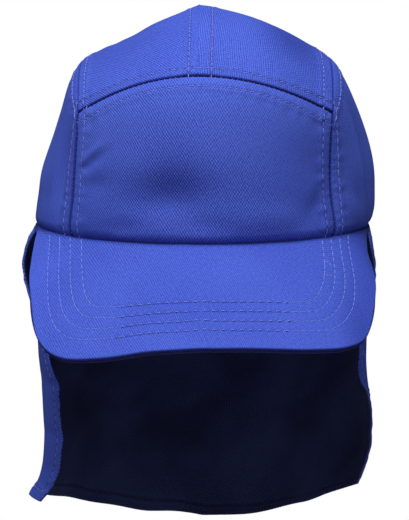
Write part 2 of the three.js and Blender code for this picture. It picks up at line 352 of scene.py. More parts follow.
def peak_surface(across, ahead):
    way = 2 * across - 1
    root = rim(way * PEAK_END_ANGLE) - np.array([0, 0, PEAK_SET_DOWN])
    return root + (peak_edge(way) - root) * ahead[..., None]


def flap_surface(across, down):
    def edge(name):
        return column(FLAP_EDGES, "down", name, down)

    right, left = edge("right_angle"), 360 - edge("left_angle")
    angle = right + (left - right) * across
    from_right = smoothstep(1 - (angle - right) / EDGE_REACH, 0, 1)
    from_left = smoothstep(1 - (left - angle) / EDGE_REACH, 0, 1)
    out = half_width * (edge("right_out") * from_right + edge("left_out") * from_left)
    turn = np.radians(-angle)
    behind = np.maximum(0, -np.cos(turn))
    folds = FOLD_DEPTH * down * behind * np.sin(np.radians(angle * FOLD_COUNT))
    flare = FLAP_BACK_FLARE * down * behind
    from_front = np.minimum(angle, 360 - angle)
    length = FLAP_LENGTH * sided(FLAP_HEM, "angle", "length", angle < 180, from_front)
    point = rim(-angle)
    point[..., 0] += np.sin(turn) * (out + folds)
    point[..., 1] -= np.cos(turn) * (flare + folds)
    point[..., 2] -= down * length
    return point


# Fine grids: close lines near each edge, where the sewing is, and wider ones between
EDGE_LINES = [0, 0.15, 0.35, 0.6, 0.95, 1.4, 2.0, 2.7, 3.4, 4.0, 4.5, 5.0, 5.5, 6.0, 6.5, 7.0, 7.5, 8.1, 8.9]


def grid_lines(length, step, first=EDGE_LINES, last=EDGE_LINES):
    low = [d / length for d in first]
    high = [1 - d / length for d in reversed(last)]
    count = max(2, round((high[0] - low[-1]) * length / step))
    middle = low[-1] + (high[0] - low[-1]) * np.arange(1, count) / count
    return np.concatenate([low, middle, high])


def lengths_along(points, axis):
    steps = np.linalg.norm(np.diff(points, axis=axis), axis=-1)
    pad = [(1, 0), (0, 0)] if axis == 0 else [(0, 0), (1, 0)]
    return np.pad(np.cumsum(steps, axis=axis), pad)


def run_along(path):
    """How far along a path each of its points lies."""
    return lengths_along(path[:, None], 0)[:, 0]


def places(at, along, path):
    """The places at distances along a path."""
    return np.stack([np.interp(at, along, path[:, c]) for c in range(3)], -1)


def normals_of(surface, across, up):
    step = 1e-3
    u = np.clip(across, 3 * step, 1 - 3 * step)
    v = np.clip(up, 3 * step, 1 - 3 * step)
    sideways = surface(u + step, v) - surface(u - step, v)
    upwards = surface(u, v + step) - surface(u, v - step)
    return unit(np.cross(sideways, upwards))


def wavy(s, seed, waves=((7.9, 1.0), (11.3, 0.7), (5.1, 0.5), (17.0, 0.6))):
    """Uneven ripples along a length, between about -1 and 1."""
    phases = np.random.default_rng(seed).uniform(0, 2 * math.pi, len(waves))
    total = sum(size for _, size in waves)
    parts = zip(waves, phases)
    return sum(size * np.sin(2 * math.pi * s / length + phase) for (length, size), phase in parts) / total


def turned(x, y, angle):
    """Flat places in axes that are turned by an angle in degrees."""
    c, s = math.cos(math.radians(angle)), math.sin(math.radians(angle))
    return np.stack([x * c + y * s, y * c - x * s], -1)


def seam_relief(d, s, seed, row, gape):
    """How high the cloth lies at a distance from a sewn seam: the seam's groove, or its ridge where it is
    pressed flat, the turned allowance, the channel that a row of stitches pulls, and its puckers."""
    groove = (0.3 - 0.9 * gape) * bell(d, 0.35 + 0.3 * gape)
    ridge = 0.5 * bell(d, 0.8) if gape == 0 else 0
    allowance = 0.45 * smoothstep(d, 0, 1.2) * (1 - smoothstep(d, row + 0.8, row + 4.0))
    dimples = 0.75 + 0.25 * np.cos(2 * math.pi * s / CROWN_PITCH)
    channel = -0.35 * bell(d - row, 0.65) * dimples
    pucker = 0.36 * wavy(s, seed) * bell(d - row - 2.5, 3.4)
    pinch = 0.16 * wavy(s, seed + 1, ((3.9, 1.0), (5.3, 0.6))) * bell(d - row / 2, 1.6)
    return groove + ridge + allowance + channel + pucker + pinch


def seam_shade(d, row, gape):
    """Painted shade: where the cloth is painted darker, in the seam's groove and, a little, in the stitch
    row's channel. The ridge of a seam that is pressed flat is painted paler, as a painted highlight."""
    seam = min(gape, 1.0) * bell(d, 0.3 + 0.45 * gape)
    pressed = bell(d, 0.7) if gape == 0 else 0
    return np.clip(seam - pressed + 0.3 * bell(d - row, 0.6), -1, 1)


def linear(hex_colour):
    """A colour written in sRGB hex, as Blender's linear values."""
    parts = [int(hex_colour[i : i + 2], 16) / 255 for i in (1, 3, 5)]
    return (*(p / 12.92 if p <= 0.04045 else ((p + 0.055) / 1.055) ** 2.4 for p in parts), 1.0)


def add_node(tree, kind, settings=None, **inputs):
    """A node with its settings, and its inputs set to values or linked to other nodes. An input goes by its
    name, with _ for a space, or by its number, as in i0. A node given for one links its first output."""
    node = tree.nodes.new(kind)
    for key, value in (settings or {}).items():
        setattr(node, key, value)
    for key, value in inputs.items():
        numbered = key[0] == "i" and key[1:].isdigit()
        socket = node.inputs[int(key[1:]) if numbered else key.replace("_", " ")]
        if isinstance(value, bpy.types.Node):
            value = value.outputs[0]
        if isinstance(value, bpy.types.NodeSocket):
            tree.links.new(value, socket)
        else:
            socket.default_value = value
    return node


def placed(name, data):
    """A new object in the scene."""
    thing = bpy.data.objects.new(name, data)
    scene.collection.objects.link(thing)
    return thing


def empty_tree(owner):
    """The node tree of a new material or world, with nothing in it."""
    owner.use_nodes = True
    owner.node_tree.nodes.clear()
    return owner.node_tree


def scaled(colour, factor):
    """A linear colour made darker."""
    return tuple(part * factor for part in colour[:3]) + (1.0,)


COLOUR_MIX = {"data_type": "RGBA"}

# Cotton twill: a 2/1 weave whose diagonal wales are a little over a millimetre apart, crossed by its other
# yarns. It is matt, with a soft bloom of loose fibre at grazing angles. It carries painted shade from its
# groove attribute: darker in seams, channels and shaded patches, paler below nought. Its lengths are in
# millimetres.
TWILL_PITCH = 1.15
YARN_SPREAD = 1.1
YARN_ANGLE = math.radians(62)
# How far the wales wander, in their pitches, and how much the yarn's own unevenness shows
WANDER = 1.4
SLUB = 0.9
# The cloth's noises: their cycles a millimetre, and their detail
NOISES = {"drift": (0.09, 2.0), "slub": (0.8, 3.0), "broad": (0.022, 2.0)}


def twill(name, light, dark, pitch=TWILL_PITCH, contrast=0.42, sheen=0.12, blotches=0.35):
    material = bpy.data.materials.new(name)
    tree = empty_tree(material)
    cloth = add_node(tree, "ShaderNodeUVMap", {"uv_map": "cloth_mm"})
    place = add_node(tree, "ShaderNodeSeparateXYZ", i0=cloth)
    groove = add_node(tree, "ShaderNodeAttribute", {"attribute_name": "groove"}).outputs["Fac"]
    values = {"x": place.outputs[0], "y": place.outputs[1], "groove": groove}
    flat = {"noise_dimensions": "2D"}
    for noise, (scale, detail) in NOISES.items():
        values[noise] = add_node(tree, "ShaderNodeTexNoise", flat, Vector=cloth, Scale=scale, Detail=detail)
    turn = 2 * math.pi
    yarn_turn = turn / (pitch * YARN_SPREAD)
    # Each step: the value that it gives, its operation, and what it takes
    steps = (
        ("wander", "MULTIPLY_ADD", "drift", WANDER * turn, -WANDER * turn / 2),
        ("wale", "MULTIPLY_ADD", "x", turn / pitch, "wander"),
        ("wale", "SINE", "wale"),
        ("yarn", "MULTIPLY_ADD", "x", math.cos(YARN_ANGLE) * yarn_turn, "wander"),
        ("yarn", "MULTIPLY_ADD", "y", -math.sin(YARN_ANGLE) * yarn_turn, "yarn"),
        ("yarn", "SINE", "yarn"),
        ("height", "MULTIPLY", "yarn", 0.4),
        ("height", "MULTIPLY_ADD", "wale", 0.75, "height"),
        ("tone", "MULTIPLY_ADD", "height", contrast, 0.5 - (SLUB + blotches) / 2),
        ("tone", "MULTIPLY_ADD", "slub", SLUB, "tone"),
        ("tone", "MULTIPLY_ADD", "broad", blotches, "tone"),
        # The groove attribute is painted shade: it darkens the tone, and below nought it lightens it as
        # painted highlight
        ("tone", "SUBTRACT", "tone", "groove"),
        ("deep", "MULTIPLY", "groove", 0.78),
    )
    for result, operation, *operands in steps:
        parts = {f"i{k}": values.get(part, part) for k, part in enumerate(operands)}
        values[result] = add_node(tree, "ShaderNodeMath", {"operation": operation}, **parts)
    tone = add_node(tree, "ShaderNodeClamp", i0=values["tone"])
    colour = add_node(tree, "ShaderNodeMix", COLOUR_MIX, i0=tone, i6=linear(dark), i7=linear(light))
    # The near-black painted shade colour that deep painted shade mixes towards
    painted_shade_colour = scaled(linear(dark), 0.22)
    shaded = add_node(tree, "ShaderNodeMix", COLOUR_MIX, i0=values["deep"], i6=colour.outputs[2], i7=painted_shade_colour)
    bump = add_node(tree, "ShaderNodeBump", Strength=0.4, Distance=0.25 * MM, Height=values["height"])
    shader = add_node(
        tree,
        "ShaderNodeBsdfPrincipled",
        Base_Color=shaded.outputs[2],
        Roughness=0.88,
        Normal=bump,
        Specular_IOR_Level=0.25,
        Sheen_Weight=sheen,
        Sheen_Roughness=0.45,
        Sheen_Tint=linear(light),
    )
    add_node(tree, "ShaderNodeOutputMaterial", Surface=shader)
    return material


# Polyester sewing thread: smoother than the cloth, with a slight gloss. Its colour is painted paler and
# darker every 2.4 mm or so, as painted highlights where its plies catch the light, which this scale gives in
# cycles a metre.
PLY_SCALE = 420.0


def sewing_thread(name, colour):
    material = bpy.data.materials.new(name)
    tree = empty_tree(material)
    place = add_node(tree, "ShaderNodeTexCoord").outputs["Object"]
    # Painted highlights along the plies
    uneven = add_node(tree, "ShaderNodeTexNoise", Vector=place, Scale=PLY_SCALE, Detail=1.0)
    pale = linear(colour)
    mix = add_node(tree, "ShaderNodeMix", COLOUR_MIX, i0=uneven, i6=scaled(pale, 0.7), i7=pale).outputs[2]
    shader = add_node(
        tree, "ShaderNodeBsdfPrincipled", Base_Color=mix, Roughness=0.6, Specular_IOR_Level=0.2
    )
    add_node(tree, "ShaderNodeOutputMaterial", Surface=shader)
    return material


# The crown and the flap are of one royal blue, which the peak's tight cover shows a shade duller and finer.
# The flap's inside is the royal twill painted dark and blotched, as painted shade for its shaded inside and
# folds, and the peak's under cover has a purple cast.
ROYAL = twill("royal blue cotton twill", "#5D76E8", "#2D3FA8")
PEAK_ROYAL = twill(
    "royal blue cotton twill drawn tight over the peak", "#5870E0", "#3144AE", pitch=0.98, contrast=0.38
)
INSIDE_PAINTED_SHADE = twill("twill inside darkened as painted shade", "#363E6A", "#1A1F42", sheen=0.03, blotches=1.8)
UNDER = twill("purple-blue under cover of the peak", "#5A5CC0", "#40409A")
# Pale blue thread stands out from the cloth, the joining one hardly shows and also stands as painted shade
# for thread lying in shade, and the mauve one looks warmer
THREAD = sewing_thread("pale blue sewing thread", "#8E9CF6")
JOINING_AND_SHADED_THREAD = sewing_thread("royal blue joining thread", "#5468CC")
MAUVE_THREAD = sewing_thread("mauve sewing thread", "#A58FE4")


def finish_piece(piece, *replaced):
    """Puts a piece on the cap's one body, and hides the CAD nodes that it stands for."""
    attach(piece, "root")
    if replaced:
        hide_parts(*replaced)
    return piece


def cloth_piece(name, cloth, uv, materials, *replaced):
    """A closed wall of cloth between its two grids, which share their edge points. The inner one has the
    last of the materials."""
    n, m = cloth.shade.shape
    index = np.arange(n * m).reshape(n, m)
    under = index + n * m
    under[0], under[-1], under[:, 0], under[:, -1] = index[0], index[-1], index[:, 0], index[:, -1]
    used, flat = np.unique(np.concatenate([index.ravel(), under.ravel()]), return_inverse=True)
    everything = np.concatenate([cloth.outer, cloth.inner]).reshape(-1, 3)
    uvs = np.tile(uv.reshape(-1, 2), (2, 1))
    shades = np.tile(cloth.shade.ravel(), 2)
    index, under = flat[: n * m].reshape(n, m), flat[n * m :].reshape(n, m)
    top, low = (
        np.stack([g[:-1, :-1], g[1:, :-1], g[1:, 1:], g[:-1, 1:]], -1).reshape(-1, 4) for g in (index, under)
    )
    faces = np.concatenate([top, low[:, [0, 3, 2, 1]]])
    mesh = bpy.data.meshes.new(name)
    mesh.from_pydata((everything[used] * MM).tolist(), [], faces.tolist())
    layer = mesh.uv_layers.new(name="cloth_mm")
    layer.data.foreach_set("uv", uvs[used][faces.ravel()].ravel().astype(np.float32))
    # Each point's painted shade, and painted highlight below nought, goes to the twill as the groove
    # attribute
    groove = mesh.attributes.new("groove", "FLOAT", "POINT")
    groove.data.foreach_set("value", shades[used].astype(np.float32))
    for material in materials:
        mesh.materials.append(material)
    slots = np.repeat([0, len(materials) - 1], [len(top), len(low)])
    mesh.polygons.foreach_set("material_index", slots.astype(np.int32))
    mesh.polygons.foreach_set("use_smooth", np.ones(len(faces), bool))
    mesh.update()
    return finish_piece(placed(name, mesh), *replaced)


def cloth_uv(cloth, grain):
    """The cloth laid flat, in millimetres, turned so that its twill wales lie at the grain's angle."""
    along = lengths_along(cloth.mid, 0)
    half = len(along) // 2
    up = np.broadcast_to(lengths_along(cloth.mid, 1)[half], along.shape)
    return turned(along - along[half], up, grain)


class Cloth:
    """A finished piece of cloth: its grids, and the distances from its four edges."""

    def __init__(self, surface, us, vs, wall, relief, inner_relief=0.45, rounding=0.5):
        self.across, self.up = np.meshgrid(us, vs, indexing="ij")
        self.mid = surface(self.across, self.up)
        self.normal = normals_of(surface, self.across, self.up)
        a, b = lengths_along(self.mid, 0), lengths_along(self.mid, 1)
        self.sides = {"start": a, "end": a[-1] - a, "bottom": b, "top": b[:, -1:] - b}
        self.from_start, self.from_end, self.from_bottom, self.from_top = self.sides.values()
        self.nearest = np.minimum.reduce(list(self.sides.values()))
        self.rounding = rounding
        self.edge_lift = 0.0
        self.height, self.shade = relief(self)
        roll = np.sqrt(1 - (1 - np.clip(self.nearest / self.rounding, 0, 1)) ** 2)
        lift = (self.height + wall / 2 * roll)[..., None]
        drop = (self.height * inner_relief - wall / 2 * roll)[..., None]
        edge = (self.nearest <= 1e-9)[..., None]
        rest = (self.height * 0.7 + self.edge_lift)[..., None]
        deepest = lift - 0.3 * wall * roll[..., None]
        self.outer = self.mid + self.normal * np.where(edge, rest, lift)
        self.inner = self.mid + self.normal * np.where(edge, rest, np.minimum(drop, deepest))

    def row(self, edge, distance):
        """The path at a distance from an edge, over the cloth, and the way it faces there."""
        towards = 0 if edge in ("start", "end") else 1
        grids = (self.outer, self.normal, self.sides[edge])
        lines, normals, far = (np.moveaxis(grid, towards, 0) for grid in grids)
        path, lie = [], []
        for k in range(far.shape[1]):
            order = np.argsort(far[:, k])
            d = far[order, k]
            path.append(places(distance, d, lines[order, k]))
            lie.append(places(distance, d, normals[order, k]))
        return np.array(path), np.array(lie)


def stitch_tree():
    """Stitches laid along paths: each path is cut at an even pitch, and each cut carries a short bent thread
    that dips into the cloth at both ends."""
    tree = bpy.data.node_groups.new("rows of stitches", "GeometryNodeTree")
    kinds = {"Paths": "Geometry", "Pitch": "Float", "Stitch length": "Float", "Thread radius": "Float"}
    kinds |= {"Dip": "Float", "Turn": "Float", "Thread": "Material"}
    for name, kind in kinds.items():
        tree.interface.new_socket(name, in_out="INPUT", socket_type="NodeSocket" + kind)
    tree.interface.new_socket("Stitches", in_out="OUTPUT", socket_type="NodeSocketGeometry")
    start = add_node(tree, "NodeGroupInput")
    paths, pitch, length, radius, dip, turn, thread = start.outputs[: len(kinds)]
    curve = add_node(tree, "GeometryNodeMeshToCurve", i0=paths)
    cut = add_node(tree, "GeometryNodeResampleCurve", {"mode": "LENGTH"}, i0=curve, Length=pitch)
    # The bent thread's four points: where each lies along the stitch, and how high
    spots = {}
    for spot, x_share, depth, z_share in (
        ("Start", -0.5, dip, -1.0),
        ("Start_Handle", -0.3, radius, 1.2),
        ("End_Handle", 0.3, radius, 1.2),
        ("End", 0.5, dip, -1.0),
    ):
        x, z = (
            add_node(tree, "ShaderNodeMath", {"operation": "MULTIPLY"}, i0=size, i1=share)
            for size, share in ((length, x_share), (depth, z_share))
        )
        spots[spot] = add_node(tree, "ShaderNodeCombineXYZ", X=x, Z=z)
    bent = add_node(tree, "GeometryNodeCurvePrimitiveBezierSegment", Resolution=6, **spots)
    section = add_node(tree, "GeometryNodeCurvePrimitiveCircle", Resolution=6, Radius=radius)
    stitch = add_node(tree, "GeometryNodeCurveToMesh", Curve=bent, Profile_Curve=section)
    stitch = add_node(tree, "GeometryNodeSetShadeSmooth", Geometry=stitch)
    tangent = add_node(tree, "GeometryNodeInputTangent")
    vector = {"data_type": "FLOAT_VECTOR"}
    lie = add_node(tree, "GeometryNodeInputNamedAttribute", vector, Name="lie")
    along = add_node(tree, "FunctionNodeAlignRotationToVector", {"axis": "X"}, Vector=tangent)
    about = {"axis": "Z", "pivot_axis": "X"}
    upward = add_node(tree, "FunctionNodeAlignRotationToVector", about, Rotation=along, Vector=lie)
    spin = add_node(tree, "ShaderNodeCombineXYZ", Z=turn)
    local = {"rotation_space": "LOCAL"}
    facing = add_node(tree, "FunctionNodeRotateRotation", local, Rotation=upward, Rotate_By=spin)
    laid = add_node(tree, "GeometryNodeInstanceOnPoints", Points=cut, Instance=stitch, Rotation=facing)
    real = add_node(tree, "GeometryNodeRealizeInstances", Geometry=laid)
    finish = add_node(tree, "GeometryNodeSetMaterial", Geometry=real, Material=thread)
    add_node(tree, "NodeGroupOutput", i0=finish)
    return tree


STITCHES = stitch_tree()
# How high a thread lies over the cloth, as a share of its radius
THREAD_RISE = 0.2


def sew(
    name,
    rows,
    pitch=CROWN_PITCH,
    length=CROWN_STITCH,
    radius=THREAD_RADIUS,
    dip=0.35,
    turn=0.0,
    thread=THREAD,
):
    """Rows of stitches along paths, as one plain mesh. Each row has its points and how the cloth faces."""
    points, lies, edges = [], [], []
    for path, lie in rows:
        first = len(points)
        points.extend((path + lie * radius * THREAD_RISE) * MM)
        lies.extend(lie)
        edges.extend((first + k, first + k + 1) for k in range(len(path) - 1))
    mesh = bpy.data.meshes.new(name)
    mesh.from_pydata([tuple(p) for p in points], edges, [])
    mesh.attributes.new("lie", "FLOAT_VECTOR", "POINT").data.foreach_set("vector", np.array(lies).ravel())
    piece = placed(name, mesh)
    modifier = piece.modifiers.new("stitches", "NODES")
    modifier.node_group = STITCHES
    wanted = {"Pitch": pitch * MM, "Stitch length": length * MM, "Thread radius": radius * MM}
    wanted |= {"Dip": dip * MM, "Turn": turn, "Thread": thread}
    for item in STITCHES.interface.items_tree:
        if item.item_type == "SOCKET" and item.in_out == "INPUT" and item.name in wanted:
            modifier[item.identifier] = wanted[item.name]
    evaluated = piece.evaluated_get(bpy.context.evaluated_depsgraph_get())
    sewn = bpy.data.meshes.new_from_object(evaluated)
    piece.modifiers.clear()
    piece.data = sewn
    sewn.name = name
    return finish_piece(piece)


# Each crown panel's seams: how far the row of stitches lies from each, and how far the seam gapes
SEWING = {
    "front_panel": {"start": (6.9, 2.2), "end": (6.9, 1.9), "top": (6.0, 1.0)},
    "top_panel_left": {"start": (7.0, 0.0), "end": (6.6, 0.7), "bottom": (5.0, 0.9)},
    "top_panel_right": {"start": (4.6, 0.5), "end": (4.3, 0.0), "bottom": (5.0, 0.9)},
    "side_panel_left": {"start": (6.6, 1.9), "end": (4.6, 0.5), "top": (6.6, 0.9)},
    "side_panel_right": {"start": (4.6, 0.5), "end": (5.6, 2.2), "top": (5.4, 0.6)},
}
MIDDLE_EDGE = {"top_panel_left": "start", "top_panel_right": "end"}
# How far from a seam the cloth's edge rounds off: in a seam that gapes, and in one that is pressed flat
OPEN_ROUNDING = 0.5
CLOSED_ROUNDING = 0.03
# How far each top panel's edge runs past the middle seam, so that the two close on each other
MIDDLE_LAP = 0.4
# How far a panel's cloth is drawn in just beside the rim, and the most that any relief sinks it
RIM_DRAW = 1.2
RIM_WAVES = ((14, 1.0), (23, 1.0), (37, 1.0))
DEEPEST = -1.3

# Soft creases and folds of single panels: where they lie as shares across and up, how wide and how long they
# are in millimetres, how far they lean from upright towards +u, and how high they stand
CREASES = {
    "front_panel": [
        (0.1, 0.63, 2.6, 8, 70, 0.7),
        (0.1, 0.56, 3.2, 11, 75, -0.8),
        (0.93, 0.3, 4, 12, 40, -0.5),
        (0.86, 0.28, 6, 14, 50, 0.35),
        (0.24, 0.1, 9, 5, 0, -0.9),
        (0.52, 0.12, 12, 6, 0, -1.1),
    ],
    "side_panel_left": [
        (0.2, 0.55, 3.6, 26, 4, 0.8),
        (0.3, 0.5, 9, 24, 8, -0.7),
        (0.1, 0.2, 5, 10, -40, 0.8),
    ],
    "side_panel_right": [
        (0.93, 0.5, 2.8, 20, 0, -2.0),
        (0.86, 0.4, 7, 22, -10, 0.8),
    ],
    "top_panel_left": [
        (0.62, 0.24, 12, 5, 60, -0.7),
        (0.85, 0.2, 8, 5, 50, -0.6),
    ],
    "top_panel_right": [
        (0.3, 0.3, 14, 4, 75, -0.6),
        (0.6, 0.2, 16, 4, 80, -0.5),
    ],
}

# Painted light and shade: soft patches where a panel is painted paler, or painted darker below nought, where
# light and shade fall on it: across, up, wide, tall, how much
PAINTED_LIGHT_PATCHES = {
    "front_panel": [
        (0.5, 1.0, 0.9, 0.4, 0.17),
        (0.0, 0.65, 0.25, 0.4, 0.1),
        (0.395, 0.37, 0.14, 0.15, -0.18),
        (0.12, 0.1, 0.16, 0.16, -0.12),
        (0.38, 0.08, 0.2, 0.1, -0.1),
    ],
    "top_panel_left": [(0.72, 0.25, 0.2, 0.12, -0.3)],
    "top_panel_right": [(0.45, 0.25, 0.35, 0.2, -0.08)],
    "side_panel_left": [(0.25, 0.5, 0.4, 0.6, 0.2)],
    "side_panel_right": [(0.8, 0.5, 0.3, 0.5, 0.03)],
}


# Painted light: the sum of a panel's patches, taken off its painted shade so that it looks paler, or darker
# below nought
def painted_light(cloth, patches):
    tone = np.zeros_like(cloth.across)
    for across, up, wide, tall, amount in patches:
        tone += amount * bell(cloth.across - across, wide) * bell(cloth.up - up, tall)
    return tone


def crease_relief(cloth, creases):
    height = np.zeros_like(cloth.across)
    wide, tall = cloth.from_start + cloth.from_end, cloth.from_bottom + cloth.from_top
    fade = smoothstep(cloth.nearest, 0, 6)
    for across, up, width, length, lean, high in creases:
        x, y = cloth.from_start - across * wide, cloth.from_bottom - up * tall
        side, along = np.moveaxis(turned(x, y, -lean), -1, 0)
        height += high * fade * bell(side, width) * bell(along, length)
    return height


def crown_relief(name):
    """A crown panel's relief: its creases, its seams, and last its free edge at the rim, where all fades."""
    seams, seed, middle = SEWING[name], PANELS[name]["seed"], MIDDLE_EDGE.get(name)

    def relief(cloth):
        edges = sorted(cloth.sides.items(), key=lambda edge: edge[0] not in seams)
        height = crease_relief(cloth, CREASES[name])
        shade = np.full_like(cloth.across, -1.0)
        for k, (edge, d) in enumerate(edges):
            s = cloth.from_bottom if edge in ("start", "end") else cloth.from_start
            if edge in seams:
                row, gape = seams[edge]
                height += seam_relief(d, s, seed + 7 * k, row, gape)
                shade = np.maximum(shade, seam_shade(d, row, gape))
            else:
                swell = PANELS[name]["swell"] * smoothstep(d, 1, 6) * (1 - smoothstep(d, 8, 22))
                ripple = 0.3 * wavy(s, seed + k, RIM_WAVES) * np.exp(-d / 8)
                height += swell + ripple - RIM_DRAW * bell(d, 2.2)
                height *= smoothstep(d, 0, 0.9)
                # Painted shade along the rim, where the crown's edge meets the peak and the flap
                shade = np.maximum(shade, 0.7 * bell(d, 1.3))
        pressed = 1.0
        if middle:
            from_middle = cloth.sides[middle]
            pressed = smoothstep(from_middle, 0.6, 1.6)
            opening = smoothstep(from_middle, 0.3, 1.0)
            cloth.rounding = CLOSED_ROUNDING + (OPEN_ROUNDING - CLOSED_ROUNDING) * opening
            cloth.edge_lift = (CROWN_WALL / 2 + 0.3 * height) * (from_middle < CLOSED_ROUNDING)
            outwards = unit(np.gradient(cloth.mid, axis=0)) * (1 if middle == "end" else -1)
            cloth.mid = cloth.mid + outwards * (MIDDLE_LAP * bell(from_middle, 1.0))[..., None]
        # The painted highlight of a pressed seam stays only beside the middle seam
        shade = np.where(shade < 0, shade * (1 - pressed), shade)
        return np.maximum(height, DEEPEST), shade - painted_light(cloth, PAINTED_LIGHT_PATCHES[name])

    return relief


PANEL_STEP = 1.3
shares, halfway = np.linspace(0, 1, 41), np.full(41, 0.5)
crown = {}
for name, facts in PANELS.items():
    surface = SURFACES[name]
    wide = run_along(surface(shares, halfway))[-1]
    tall = run_along(surface(halfway, shares))[-1]
    us, vs = grid_lines(wide, PANEL_STEP), grid_lines(tall, PANEL_STEP)
    crown[name] = Cloth(surface, us, vs, CROWN_WALL, crown_relief(name))
    cloth_piece(name + "_cloth", crown[name], cloth_uv(crown[name], facts["grain"]), [ROYAL], name)


def trimmed(row, margin=1.0):
    """A row without its ends, so that it stops at the seams that it meets."""
    path, lie = row
    along = run_along(path)
    keep = (along > margin) & (along < along[-1] - margin)
    return path[keep], lie[keep]


# The row beside the middle seam, on the wearer's left, is sewn in mauve
MAUVE_ROW = ("top_panel_left", "start")
crown_rows, mauve_rows = [], []
for name, seams in SEWING.items():
    for edge, (row, _) in seams.items():
        rows = mauve_rows if (name, edge) == MAUVE_ROW else crown_rows
        rows.append(trimmed(crown[name].row(edge, row)))
sew("crown_stitching", crown_rows)
sew("middle_seam_stitching", mauve_rows, thread=MAUVE_THREAD)

# Where a seam gapes, the threads that join its two sides show across it
LADDER_PITCH = 2.8
LADDER_STITCH = 1.7
LADDER_RADIUS = 0.26
LADDER_DIP = 0.3
# Each seam that shows them, by a panel and its edge, and how high they lie in its groove
LADDER_SEAMS = {
    ("front_panel", "start"): 0.95,
    ("front_panel", "end"): 0.95,
    ("front_panel", "top"): 0.4,
    ("top_panel_left", "end"): 0.35,
}
ladder_rows = []
for (name, edge), rise in LADDER_SEAMS.items():
    path, lie = trimmed(crown[name].row(edge, 0.0), 3.0)
    ladder_rows.append((path + lie * rise, lie))
sew(
    "seam_joining_threads",
    ladder_rows,
    LADDER_PITCH,
    LADDER_STITCH,
    LADDER_RADIUS,
    LADDER_DIP,
    turn=math.pi / 2,
    thread=JOINING_AND_SHADED_THREAD,
)


# The peak's four rows of stitches run side by side round its edge: how far the outermost lies from the free
# edge at the side and at the front, and the space between two rows there, along the cloth
ROW_SIDE = {"right": 9.2, "left": 10.9}
ROW_SIDE_GAP = {"right": 5.9, "left": 5.1}
ROW_FRONT = 12.4
ROW_FRONT_GAP = 6.5
PEAK_ROWS = 4
FRONT_ROW_REACH = 42
PEAK_PITCH_ANGLE = 34
# The rows stop just outside the rim, and one straight step bridges each row's middle
CLEAR_OF_RIM = 1.015
MIDDLE_STEP = 0.04


def peak_row_plan(k):
    """The plan of a row of stitches: points of the free edge moved inwards."""
    way = np.linspace(-0.985, 0.985, 500)
    edge = peak_edge(way)[:, :2]
    tangent = unit(np.gradient(edge, axis=0))
    inward = np.stack([-tangent[:, 1], tangent[:, 0]], -1)
    margins = {hand: ROW_SIDE[hand] + k * ROW_SIDE_GAP[hand] for hand in ROW_SIDE}
    side = np.where(way[:, None] < 0, margins["right"], margins["left"])
    front = (ROW_FRONT + k * ROW_FRONT_GAP) * math.cos(math.radians(PEAK_PITCH_ANGLE))
    share = inward[:, 1:2] ** 2
    row = edge + inward * (side * (1 - share) + front * share)
    outside = (row[:, 0] / half_width) ** 2 + (row[:, 1] / half_depth) ** 2 > CLEAR_OF_RIM
    return row[outside & (row[:, 1] < 0) & (np.abs(way) > MIDDLE_STEP)]


def peak_share(plan):
    """The across and ahead shares of the peak's surface at points of its plan."""
    low, high = np.full(len(plan), -1.0), np.full(len(plan), 1.0)
    for _ in range(40):
        way = (low + high) / 2
        root = rim(way * PEAK_END_ANGLE)[:, :2]
        line = peak_edge(way)[:, :2] - root
        to = plan - root
        left = line[:, 0] * to[:, 1] - line[:, 1] * to[:, 0] > 0
        low, high = np.where(left, way, low), np.where(left, high, way)
    ahead = np.linalg.norm(to, axis=1) / np.maximum(np.linalg.norm(line, axis=1), 1e-6)
    return (way + 1) / 2, ahead


def near_path(points, path):
    """The distance from each point to a path, and how far along the path it is nearest."""
    along = run_along(path)
    best = np.full(len(points), 1e9)
    where = np.zeros(len(points))
    for start, end, passed in zip(path, path[1:], along):
        span = end - start
        size = max(float(span @ span), 1e-9)
        t = np.clip(((points - start) @ span) / size, 0, 1)
        d = np.linalg.norm(points - start - t[:, None] * span, axis=1)
        closer = d < best
        best[closer] = d[closer]
        where[closer] = passed + t[closer] * math.sqrt(size)
    return best, where


peak_paths = [peak_surface(*peak_share(peak_row_plan(k))) for k in range(PEAK_ROWS)]

# The peak's cover has painted shade towards the wearer's left end, which turns away from the light
PEAK_END_PAINTED_SHADE = 0.34


def peak_relief(cloth):
    height = np.zeros_like(cloth.across)
    # Painted shade at the root, under the crown's edge, and a painted dark line along the free edge
    shade = 0.7 * bell(cloth.from_bottom, 1.3)
    shade = np.maximum(shade, 0.85 * bell(cloth.from_top, 0.7))
    flat = cloth.mid.reshape(-1, 3)
    for k, path in enumerate(peak_paths):
        d, s = (x.reshape(height.shape) for x in near_path(flat, path[::4]))
        dimples = 0.7 + 0.3 * np.cos(2 * math.pi * s / PEAK_PITCH)
        height = height - 0.65 * bell(d, 0.75) * dimples
        beside = bell(d - 2.0, 1.8)
        height = height + 0.16 * wavy(s, 70 + k, ((4.4, 1.0), (6.1, 0.5))) * beside
        # Painted shade in each row's channel, deeper along the front
        front = 1 - smoothstep(np.abs(cloth.mid[..., 0]), FRONT_ROW_REACH - 6, FRONT_ROW_REACH + 6)
        shade = np.maximum(shade, (0.3 + 0.45 * front) * bell(d, 0.6))
    height = height + 0.12 * wavy(cloth.from_start, 91, ((23, 1.0), (41, 1.0)))
    # Painted shade towards the wearer's left end
    painted_end_shade = PEAK_END_PAINTED_SHADE * smoothstep(cloth.mid[..., 0], PEAK_WIDTH * 0.36, PEAK_WIDTH / 2)
    return height, shade + painted_end_shade


COVER_WALL = PEAK_WALL / 2
peak_upwards = mirrored(peak_surface)
# How fast, from the root, a cover comes down from the crown's edge, and leaves the peak's middle surface
ROOT_FADE = 12
ROOT_SPREAD = 200
